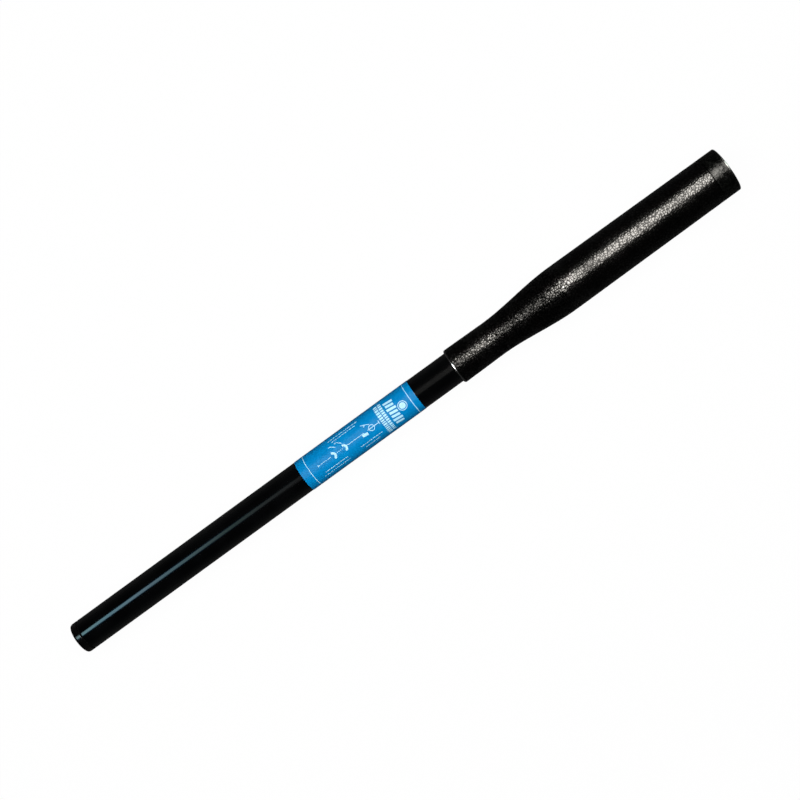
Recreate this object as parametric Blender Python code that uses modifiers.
"""Telescopic push-on cue extension.

A black tube carries a flared rubber sleeve that pushes over the butt of a cue.
An inner tube draws out of the other end, and a twist locks it: the twist turns an
eccentric journal inside a ring, and the ring wedges across the outer tube's bore.

Run with: blender --background --python part.py
Metres, +Z up. The stick lies along X. The origin is the centre of the rubber pad
that the cue's butt rests on, and +X points out of the sleeve's mouth.
"""

import math

import bpy
from mathutils import Vector

# ---------------------------------------------------------------- dimensions
# A station is a distance in millimetres along the stick, from a datum just inside
# the end cap's outer face, and every radius is in millimetres too. at() turns a
# station into an X in metres.

STOP_FACE = 428.3  # outer face of the cue stop pad, which is X = 0
OUTSIDE_SEGMENTS = 48  # facets round the large outer pieces
INSIDE_SEGMENTS = 40  # facets round the pieces inside them
PIN_SEGMENTS = 20

# outer tube
TUBE_R = 12.5
BORE_R = 11.3
TUBE_START = 5.7
TUBE_END = 390.0

# guide bush in the lower mouth of the outer tube
BUSH_START = 4.9
BUSH_FLANGE_R = 12.3
BUSH_FLANGE_END = 5.4
BUSH_R = 11.15
BUSH_BORE_R = 10.1
BUSH_END = 32.2

# inner tube
INNER_R = 10.0
INNER_BORE_R = 8.8
INNER_START = 4.9
INNER_END = 330.0

# end cap, the rubber bumper let into its face, and its cross pin
CAP_START = -0.6
CAP_R = 12.5
CAP_FLANGE_END = 4.6
CAP_FILLET = 0.7
CAP_SPIGOT_R = 8.6
CAP_SPIGOT_END = 24.0
BUMPER_R = 8.5
BUMPER_END = 2.6
CAP_PIN_STATION = 17.0
CROSS_PIN_R = 1.25
CROSS_PIN_REACH = 9.9
PIN_CLEARANCE = 0.15

# cam plug in the upper end of the inner tube
PLUG_START = 302.0
PLUG_R = 8.55
PLUG_FLANGE_START = 330.3
PLUG_FLANGE_END = 332.4
PLUG_FLANGE_R = 9.8
GUIDE_JOURNAL_R = 7.5
GUIDE_JOURNAL_END = 346.2
MID_FLANGE_R = 9.4
MID_FLANGE_END = 348.2
CAM_JOURNAL_R = 6.0
CAM_JOURNAL_END = 364.2
ECCENTRICITY = 0.8  # how far the cam journal's axis is above the tube's axis
PLUG_PIN_STATION = 314.0

# guide ring, which slides in the bore without turning, and its drag ring
GUIDE_RING_START = 332.7
GUIDE_RING_END = 345.9
GUIDE_RING_R = 11.22
GUIDE_RING_BORE_R = 7.6
GUIDE_RING_SPLIT = 2.0
DRAG_GROOVE_R = 9.9
DRAG_GROOVE_HALF = 0.85
DRAG_RING_SECTION_R = 0.52
DRAG_RING_R = 10.68  # centre of its round section

# cam ring round the eccentric journal, and the rubber band that grips the bore
CAM_RING_START = 348.5
CAM_RING_END = 363.9
CAM_RING_R = 10.4
CAM_RING_BORE_R = 6.1
GRIP_START = 352.4
GRIP_END = 360.0
GRIP_FLOOR_R = 9.6
GRIP_R = 10.6

# washer and screw that hold the cam ring on its journal
WASHER_START = 364.5
WASHER_END = 365.5
WASHER_R = 9.0
SCREW_R = 2.0
SCREW_HOLE_R = 2.3
SCREW_TIP = 347.0
SCREW_HEAD_START = 365.8
SCREW_HEAD_END = 368.2
SCREW_HEAD_R = 3.9

# cue stop: a hollow cone in the upper end of the outer tube, two pins, and a pad
STOP_START = 372.0
STOP_SPIGOT_R = 11.0
STOP_SHOULDER = 390.3
STOP_SHOULDER_R = 12.3
STOP_END = 424.0
STOP_END_R = 14.2
STOP_CORE_R = 8.4
STOP_CORE_END = 419.5
STOP_CORE_END_R = 10.4
STOP_PIN_STATION = 381.0
STOP_PIN_R = 1.35
STOP_PIN_LOW = 8.9
STOP_PIN_HIGH = 12.4
PAD_START = 424.3
PAD_R = 13.8

# push-on sleeve
SLEEVE_START = 349.5
SLEEVE_END = 593.4
NECK_R = 14.45
NECK_END = 385.5
NECK_END_R = 14.0
FLARE_END = 447.0
FLARE_STEPS = 8
BARREL_R = 18.64
BARREL_START = 452.0
MOUTH_R = 17.93
SLEEVE_LAP_R = 12.7  # over the outer tube
SOCKET_CONE_START = 391.5
SOCKET_START = 430.0
SOCKET_START_R = 15.0
SOCKET_END_R = 15.7
REBATE_START = 581.3
REBATE_R = 16.7

# band round the sleeve's mouth, lapped over the sleeve's end
BAND_START = 581.6
BAND_LIP_START = 593.7
BAND_END = 595.2
BAND_INNER_R = 17.0
BAND_LIP_R = 15.9

# printed label, a film wrapped once round the tube
LABEL_START = 211.3
LABEL_END = 315.1
LABEL_R = 12.63  # middle of the film
LABEL_THICKNESS = 0.14
LABEL_GAP_DEG = 2.4  # between the film's two ends, on the underside


def at(station):
    """X in metres of a station in millimetres."""
    return (station - STOP_FACE) / 1000.0


# ------------------------------------------------------------------ scene set-up

for leftover in list(bpy.data.objects):
    bpy.data.objects.remove(leftover, do_unlink=True)

PARTS = bpy.data.collections.new("telescopic_cue_extension")
CUTTERS = bpy.data.collections.new("cutters")
for collection in (PARTS, CUTTERS):
    bpy.context.scene.collection.children.link(collection)


def material(name, colour, roughness, metallic=0.0):
    mat = bpy.data.materials.new(name)
    mat.use_nodes = True
    shader = mat.node_tree.nodes["Principled BSDF"]
    shader.inputs["Base Color"].default_value = (*colour, 1.0)
    shader.inputs["Roughness"].default_value = roughness
    shader.inputs["Metallic"].default_value = metallic
    return mat


def body(name, station, height=0.0, parent=None):
    """An empty at a moving body's joint axis. The chain of empties isn't
    rotated, so offsets simply add up."""
    holder = bpy.data.objects.new(name, None)
    holder.empty_display_size = 0.02
    PARTS.objects.link(holder)
    put(holder, station, 0.0, height, parent)
    return holder


def place_of(holder):
    total = Vector((0.0, 0.0, 0.0))
    while holder is not None:
        total += holder.location
        holder = holder.parent
    return total


def put(obj, station, y, z, parent):
    """Moves obj to a station and to y and z millimetres off the tube's axis."""
    obj.parent = parent
    obj.location = Vector((at(station), y / 1000.0, z / 1000.0)) - place_of(parent)


def as_cutter(obj):
    obj.hide_render = True
    obj.display_type = "WIRE"


def smooth(obj):
    obj.data.shade_smooth()
    obj.data.set_sharp_from_angle(angle=math.radians(32))


# ------------------------------------------------------------------ shape tools


def arc(centre, radius, start_deg, end_deg, steps=3):
    """Points round an arc, as (station, radius); 0 degrees is towards +X."""
    points = []
    for k in range(steps + 1):
        a = math.radians(start_deg + (end_deg - start_deg) * k / steps)
        points.append(
            (centre[0] + radius * math.cos(a), centre[1] + radius * math.sin(a))
        )
    return points


def turned(name, profile, mat, parent, segments, height=0.0):
    """A solid turned about the stick's direction, on an axis `height` millimetres
    above the tube's. The profile is a list of (station, radius), which runs from
    the upper end down the outside and back up the inside. It closes on itself,
    or on the axis when its first and last radius are zero. A piece with no
    material is a cutter."""
    base = profile[0][0]
    verts = [(r / 1000.0, 0.0, (s - base) / 1000.0) for s, r in profile]
    edges = [(i, i + 1) for i in range(len(verts) - 1)]
    if profile[0][1] > 0.0:
        edges.append((len(verts) - 1, 0))
    mesh = bpy.data.meshes.new(name)
    mesh.from_pydata(verts, edges, [])
    obj = bpy.data.objects.new(name, mesh)
    (PARTS if mat else CUTTERS).objects.link(obj)
    turn = obj.modifiers.new("turn", "SCREW")
    turn.axis = "Z"
    turn.angle = 2.0 * math.pi
    turn.steps = turn.render_steps = segments
    turn.use_merge_vertices = True
    turn.merge_threshold = 0.000002
    turn.use_smooth_shade = True
    put(obj, base, 0.0, height, parent)
    obj.rotation_euler = (0.0, math.pi / 2.0, 0.0)
    if mat:
        mesh.materials.append(mat)
    else:
        as_cutter(obj)
    return obj


def adopt(name, mat):
    """Names the primitive just added and files it in its collection."""
    obj = bpy.context.object
    for holder in list(obj.users_collection):
        holder.objects.unlink(obj)
    (PARTS if mat else CUTTERS).objects.link(obj)
    obj.name = obj.data.name = name
    if mat:
        obj.data.materials.append(mat)
        smooth(obj)
    else:
        as_cutter(obj)
    return obj


def cross_rod(name, station, radius, low, high, mat, parent):
    """A round pin, or with no material a cutter, along Y from low to high."""
    bpy.ops.mesh.primitive_cylinder_add(
        vertices=PIN_SEGMENTS, radius=radius / 1000.0, depth=(high - low) / 1000.0
    )
    obj = adopt(name, mat)
    obj.rotation_euler = (math.pi / 2.0, 0.0, 0.0)
    put(obj, station, (low + high) / 2.0, 0.0, parent)
    return obj


def box_cutter(name, low, high, parent):
    """A box between two (station, y, z) corners."""
    bpy.ops.mesh.primitive_cube_add(size=1.0)
    obj = adopt(name, None)
    for vertex in obj.data.vertices:
        vertex.co = Vector(
            [c * (b - a) / 1000.0 for c, a, b in zip(vertex.co, low, high)]
        )
    middle = [(a + b) / 2.0 for a, b in zip(low, high)]
    put(obj, middle[0], middle[1], middle[2], parent)
    return obj


def boolean(obj, other, operation="DIFFERENCE"):
    step = obj.modifiers.new(operation.lower() + "_" + other.name, "BOOLEAN")
    step.operation = operation
    step.object = other
    step.solver = "EXACT"


def sleeve_radius(station):
    """Outside of the push-on sleeve: a slightly tapered neck, an S-shaped flare,
    and a barrel that tapers gently to the mouth."""
    if station <= NECK_END:
        t = (station - SLEEVE_START) / (NECK_END - SLEEVE_START)
        return NECK_R + (NECK_END_R - NECK_R) * t
    if station <= FLARE_END:
        t = (station - NECK_END) / (FLARE_END - NECK_END)
        return NECK_END_R + (BARREL_R - NECK_END_R) * t * t * (3.0 - 2.0 * t)
    if station <= BARREL_START:
        return BARREL_R
    t = (station - BARREL_START) / (BAND_END - BARREL_START)
    return BARREL_R + (MOUTH_R - BARREL_R) * t


# ------------------------------------------------------------------ materials

BLACK_ALLOY = material("black_anodised_alloy", (0.012, 0.013, 0.015), 0.22, 0.3)
BARE_ALLOY = material("satin_alloy", (0.72, 0.73, 0.75), 0.32, 1.0)
GRAINED_RUBBER = material("grained_rubber", (0.020, 0.019, 0.018), 0.55)
SMOOTH_RUBBER = material("smooth_rubber", (0.018, 0.017, 0.016), 0.62)
LABEL_FILM = material("blue_label_film", (0.0, 0.19, 0.52), 0.25)
CAP_PLASTIC = material("cap_plastic", (0.018, 0.018, 0.019), 0.38)
NYLON = material("natural_nylon", (0.78, 0.76, 0.70), 0.45)
ACETAL = material("black_acetal", (0.030, 0.030, 0.032), 0.40)
STEEL = material("zinc_plated_steel", (0.62, 0.62, 0.60), 0.35, 1.0)

# ------------------------------------------------------------------ bodies
# The extend slide runs along X, the twist turns about the tube's axis, and the
# cam ring turns about the eccentric journal.

outer = body("outer_body", STOP_FACE)
carriage = body("carriage_body", (GUIDE_RING_START + GUIDE_RING_END) / 2.0, 0.0, outer)
inner = body("inner_body", GUIDE_JOURNAL_END, 0.0, carriage)
cam = body("cam_body", (CAM_RING_START + CAM_RING_END) / 2.0, ECCENTRICITY, inner)

# ------------------------------------------------------------------ outer body

tube = turned(
    "outer_tube",
    [
        (TUBE_END, BORE_R),
        (TUBE_END, TUBE_R - 0.35),
        (TUBE_END - 0.35, TUBE_R),
        (TUBE_START + 0.35, TUBE_R),
        (TUBE_START, TUBE_R - 0.35),
        (TUBE_START, BORE_R),
    ],
    BLACK_ALLOY,
    outer,
    OUTSIDE_SEGMENTS,
)
STOP_PIN_HOLE_R = STOP_PIN_R + PIN_CLEARANCE
boolean(
    tube,
    cross_rod("cut_tube_holes", STOP_PIN_STATION, STOP_PIN_HOLE_R, -16.0, 16.0, None, outer),
)

turned(
    "guide_bush",
    [
        (BUSH_END, BUSH_BORE_R),
        (BUSH_END, BUSH_R - 0.5),
        (BUSH_END - 0.9, BUSH_R),
        (BUSH_FLANGE_END, BUSH_R),
        (BUSH_FLANGE_END, BUSH_FLANGE_R),
        (BUSH_START, BUSH_FLANGE_R),
        (BUSH_START, BUSH_BORE_R + 0.35),
        (BUSH_START + 0.5, BUSH_BORE_R),
    ],
    ACETAL,
    outer,
    INSIDE_SEGMENTS,
)

# The label is an open sheet bent round the tube and given its thickness. Its two
# ends nearly meet on the underside.
label_mesh = bpy.data.meshes.new("label_wrap")
half_gap = math.radians(LABEL_GAP_DEG / 2.0)
label_mesh.from_pydata(
    [
        (
            LABEL_R / 1000.0 * math.cos(half_gap),
            LABEL_R / 1000.0 * math.sin(half_gap),
            drop / 1000.0,
        )
        for drop in (0.0, LABEL_START - LABEL_END)
    ],
    [(0, 1)],
    [],
)
label = bpy.data.objects.new("label_wrap", label_mesh)
PARTS.objects.link(label)
label_mesh.materials.append(LABEL_FILM)
bend = label.modifiers.new("bend", "SCREW")
bend.axis = "Z"
bend.angle = math.radians(360.0 - LABEL_GAP_DEG)
bend.steps = bend.render_steps = OUTSIDE_SEGMENTS
bend.use_smooth_shade = True
film = label.modifiers.new("film", "SOLIDIFY")
film.thickness = LABEL_THICKNESS / 1000.0
film.offset = 0.0
put(label, LABEL_END, 0.0, 0.0, outer)
label.rotation_euler = (0.0, math.pi / 2.0, 0.0)

# Push-on sleeve: one rubber moulding. Its neck laps over the outer tube, its cone
# sits over the cue stop, and its barrel is the socket for the cue's butt.
stations = [
    SLEEVE_START + 1.0 + (NECK_END - SLEEVE_START - 1.0) * k / 2.0 for k in range(3)
]
stations += [
    NECK_END + (FLARE_END - NECK_END) * k / FLARE_STEPS
    for k in range(1, FLARE_STEPS + 1)
]
stations += [BARREL_START, REBATE_START - 0.3]
turned(
    "push_on_sleeve",
    [
        (SLEEVE_END, SOCKET_END_R),
        (SLEEVE_END, REBATE_R),
        (REBATE_START, REBATE_R),
        (REBATE_START, sleeve_radius(REBATE_START) - 0.3),
    ]
    + [(s, sleeve_radius(s)) for s in reversed(stations)]
    + [
        (SLEEVE_START + 0.25, NECK_R - 0.45),
        (SLEEVE_START, NECK_R - 1.1),
        (SLEEVE_START, SLEEVE_LAP_R),
        (SOCKET_CONE_START, SLEEVE_LAP_R),
        (SOCKET_START, SOCKET_START_R),
    ],
    GRAINED_RUBBER,
    outer,
    OUTSIDE_SEGMENTS,
)

turned(
    "sleeve_mouth_band",
    [
        (BAND_END, BAND_LIP_R + 0.3),
        (BAND_END, MOUTH_R - 0.9),
        (BAND_END - 0.25, MOUTH_R - 0.25),
        (BAND_END - 0.9, MOUTH_R),
        (BAND_START + 0.3, sleeve_radius(BAND_START)),
        (BAND_START, sleeve_radius(BAND_START) - 0.3),
        (BAND_START, BAND_INNER_R),
        (BAND_LIP_START, BAND_INNER_R),
        (BAND_LIP_START, BAND_LIP_R),
        (BAND_END - 0.3, BAND_LIP_R),
    ],
    SMOOTH_RUBBER,
    outer,
    OUTSIDE_SEGMENTS,
)

stop = turned(
    "cue_stop_cone",
    [
        (STOP_END, 0.0),
        (STOP_END, STOP_END_R - 0.6),
        (STOP_END - 0.6, STOP_END_R),
        (STOP_SHOULDER, STOP_SHOULDER_R),
        (STOP_SHOULDER, STOP_SPIGOT_R),
        (STOP_START + 1.2, STOP_SPIGOT_R),
        (STOP_START, STOP_SPIGOT_R - 0.6),
        (STOP_START, STOP_CORE_R),
        (STOP_SHOULDER, STOP_CORE_R),
        (STOP_CORE_END, STOP_CORE_END_R),
        (STOP_CORE_END, 0.0),
    ],
    ACETAL,
    outer,
    INSIDE_SEGMENTS,
)
boolean(
    stop,
    cross_rod("cut_cone_holes", STOP_PIN_STATION, STOP_PIN_HOLE_R, -16.0, 16.0, None, outer),
)
cross_rod("stop_pin_1", STOP_PIN_STATION, STOP_PIN_R, STOP_PIN_LOW, STOP_PIN_HIGH, STEEL, outer)
cross_rod("stop_pin_2", STOP_PIN_STATION, STOP_PIN_R, -STOP_PIN_HIGH, -STOP_PIN_LOW, STEEL, outer)

turned(
    "cue_stop_pad",
    [
        (STOP_FACE, 0.0),
        (STOP_FACE, PAD_R - 0.8),
        (STOP_FACE - 0.8, PAD_R),
        (PAD_START, PAD_R),
        (PAD_START, 0.0),
    ],
    SMOOTH_RUBBER,
    outer,
    INSIDE_SEGMENTS,
)

# ------------------------------------------------------------------ inner body

inner_tube = turned(
    "inner_tube",
    [
        (INNER_END, INNER_BORE_R),
        (INNER_END, INNER_R - 0.2),
        (INNER_END - 0.2, INNER_R),
        (INNER_START + 0.2, INNER_R),
        (INNER_START, INNER_R - 0.2),
        (INNER_START, INNER_BORE_R),
    ],
    BARE_ALLOY,
    inner,
    INSIDE_SEGMENTS,
)

cap = turned(
    "end_cap",
    [
        (CAP_SPIGOT_END, 0.0),
        (CAP_SPIGOT_END, CAP_SPIGOT_R - 0.8),
        (CAP_SPIGOT_END - 1.2, CAP_SPIGOT_R),
        (CAP_FLANGE_END, CAP_SPIGOT_R),
        (CAP_FLANGE_END, CAP_R - 0.3),
        (CAP_FLANGE_END - 0.3, CAP_R),
    ]
    + arc((CAP_START + CAP_FILLET, CAP_R - CAP_FILLET), CAP_FILLET, 90.0, 180.0)
    + [
        (CAP_START, BUMPER_R + 0.3),
        (BUMPER_END + 0.3, BUMPER_R + 0.3),
        (BUMPER_END + 0.3, 0.0),
    ],
    CAP_PLASTIC,
    inner,
    OUTSIDE_SEGMENTS,
)

turned(
    "end_bumper",
    [
        (BUMPER_END, 0.0),
        (BUMPER_END, BUMPER_R),
        (CAP_START + 0.4, BUMPER_R),
        (CAP_START, BUMPER_R - 0.4),
        (CAP_START, 0.0),
    ],
    SMOOTH_RUBBER,
    inner,
    INSIDE_SEGMENTS,
)

# Cam plug: the spigot, the guide journal and the two flanges are turned on the
# tube's axis. The cam journal is turned on its own axis and joined on.
plug = turned(
    "cam_plug",
    [
        (MID_FLANGE_END, 0.0),
        (MID_FLANGE_END, MID_FLANGE_R),
        (GUIDE_JOURNAL_END, MID_FLANGE_R),
        (GUIDE_JOURNAL_END, GUIDE_JOURNAL_R),
        (PLUG_FLANGE_END, GUIDE_JOURNAL_R),
        (PLUG_FLANGE_END, PLUG_FLANGE_R),
        (PLUG_FLANGE_START, PLUG_FLANGE_R),
        (PLUG_FLANGE_START, PLUG_R),
        (PLUG_START + 1.2, PLUG_R),
        (PLUG_START, PLUG_R - 0.8),
        (PLUG_START, 0.0),
    ],
    NYLON,
    inner,
    INSIDE_SEGMENTS,
)
journal = turned(
    "join_cam_journal",
    [
        (CAM_JOURNAL_END, 0.0),
        (CAM_JOURNAL_END, CAM_JOURNAL_R - 0.4),
        (CAM_JOURNAL_END - 0.4, CAM_JOURNAL_R),
        (MID_FLANGE_END - 1.0, CAM_JOURNAL_R),
        (MID_FLANGE_END - 1.0, 0.0),
    ],
    None,
    inner,
    INSIDE_SEGMENTS,
    ECCENTRICITY,
)
boolean(plug, journal, "UNION")
screw_hole = turned(
    "cut_screw_hole",
    [
        (CAM_JOURNAL_END + 2.0, 0.0),
        (CAM_JOURNAL_END + 2.0, SCREW_HOLE_R),
        (SCREW_TIP - 0.6, SCREW_HOLE_R),
        (SCREW_TIP - 0.6, 0.0),
    ],
    None,
    inner,
    PIN_SEGMENTS,
    ECCENTRICITY,
)
boolean(plug, screw_hole)

for name, station, pieces in (
    ("cap_pin", CAP_PIN_STATION, (inner_tube, cap)),
    ("plug_pin", PLUG_PIN_STATION, (inner_tube, plug)),
):
    hole = cross_rod("cut_" + name, station, CROSS_PIN_R + PIN_CLEARANCE, -14.0, 14.0, None, inner)
    for piece in pieces:
        boolean(piece, hole)
    cross_rod(name, station, CROSS_PIN_R, -CROSS_PIN_REACH, CROSS_PIN_REACH, STEEL, inner)

turned(
    "cam_washer",
    [
        (WASHER_END, SCREW_HOLE_R),
        (WASHER_END, WASHER_R),
        (WASHER_START, WASHER_R),
        (WASHER_START, SCREW_HOLE_R),
    ],
    STEEL,
    inner,
    INSIDE_SEGMENTS,
    ECCENTRICITY,
)

screw = turned(
    "cam_screw",
    [
        (SCREW_HEAD_END, 0.0),
        (SCREW_HEAD_END, SCREW_HEAD_R - 0.7),
        (SCREW_HEAD_END - 0.7, SCREW_HEAD_R),
        (SCREW_HEAD_START, SCREW_HEAD_R),
        (SCREW_HEAD_START, SCREW_R),
        (SCREW_TIP, SCREW_R),
        (SCREW_TIP, 0.0),
    ],
    STEEL,
    inner,
    PIN_SEGMENTS,
    ECCENTRICITY,
)
screw_key = turned(
    "cut_screw_socket",
    [
        (SCREW_HEAD_END + 1.0, 0.0),
        (SCREW_HEAD_END + 1.0, 1.45),
        (SCREW_HEAD_END - 1.4, 1.45),
        (SCREW_HEAD_END - 1.4, 0.0),
    ],
    None,
    inner,
    6,
    ECCENTRICITY,
)
boolean(screw, screw_key)

# ------------------------------------------------------------------ guide ring

groove_middle = (GUIDE_RING_START + GUIDE_RING_END) / 2.0
guide_ring = turned(
    "guide_ring",
    [
        (GUIDE_RING_END, GUIDE_RING_BORE_R),
        (GUIDE_RING_END, GUIDE_RING_R - 0.5),
        (GUIDE_RING_END - 0.5, GUIDE_RING_R),
        (groove_middle + DRAG_GROOVE_HALF, GUIDE_RING_R),
        (groove_middle + DRAG_GROOVE_HALF, DRAG_GROOVE_R),
        (groove_middle - DRAG_GROOVE_HALF, DRAG_GROOVE_R),
        (groove_middle - DRAG_GROOVE_HALF, GUIDE_RING_R),
        (GUIDE_RING_START + 0.5, GUIDE_RING_R),
        (GUIDE_RING_START, GUIDE_RING_R - 0.5),
        (GUIDE_RING_START, GUIDE_RING_BORE_R),
    ],
    NYLON,
    carriage,
    INSIDE_SEGMENTS,
)
boolean(
    guide_ring,
    box_cutter(
        "cut_guide_ring_split",
        (GUIDE_RING_START - 2.0, -GUIDE_RING_SPLIT / 2.0, -14.0),
        (GUIDE_RING_END + 2.0, GUIDE_RING_SPLIT / 2.0, -4.0),
        carriage,
    ),
)

turned(
    "drag_ring",
    arc((groove_middle, DRAG_RING_R), DRAG_RING_SECTION_R, 0.0, 315.0, 7),
    SMOOTH_RUBBER,
    carriage,
    INSIDE_SEGMENTS,
)

# ------------------------------------------------------------------ cam ring
# At rest its outside is centred on the tube's axis, and its bore on the journal.


def on_tube_axis(name, profile, mat):
    """A piece of the cam body that is turned about the tube's axis."""
    return turned(name, profile, mat, cam, INSIDE_SEGMENTS)


cam_ring = on_tube_axis(
    "cam_ring",
    [
        (CAM_RING_END, 4.5),
        (CAM_RING_END, CAM_RING_R - 0.5),
        (CAM_RING_END - 0.5, CAM_RING_R),
        (GRIP_END + 0.25, CAM_RING_R),
        (GRIP_END + 0.25, GRIP_FLOOR_R),
        (GRIP_START - 0.25, GRIP_FLOOR_R),
        (GRIP_START - 0.25, CAM_RING_R),
        (CAM_RING_START + 0.5, CAM_RING_R),
        (CAM_RING_START, CAM_RING_R - 0.5),
        (CAM_RING_START, 4.5),
    ],
    ACETAL,
)
boolean(
    cam_ring,
    turned(
        "cut_cam_ring_bore",
        [
            (CAM_RING_END + 2.0, 0.0),
            (CAM_RING_END + 2.0, CAM_RING_BORE_R),
            (CAM_RING_START - 2.0, CAM_RING_BORE_R),
            (CAM_RING_START - 2.0, 0.0),
        ],
        None,
        cam,
        INSIDE_SEGMENTS,
        ECCENTRICITY,
    ),
)

on_tube_axis(
    "grip_band",
    [
        (GRIP_END, GRIP_FLOOR_R + 0.2),
        (GRIP_END, GRIP_R - 0.3),
        (GRIP_END - 0.6, GRIP_R),
        (GRIP_START + 0.6, GRIP_R),
        (GRIP_START, GRIP_R - 0.3),
        (GRIP_START, GRIP_FLOOR_R + 0.2),
    ],
    SMOOTH_RUBBER,
)
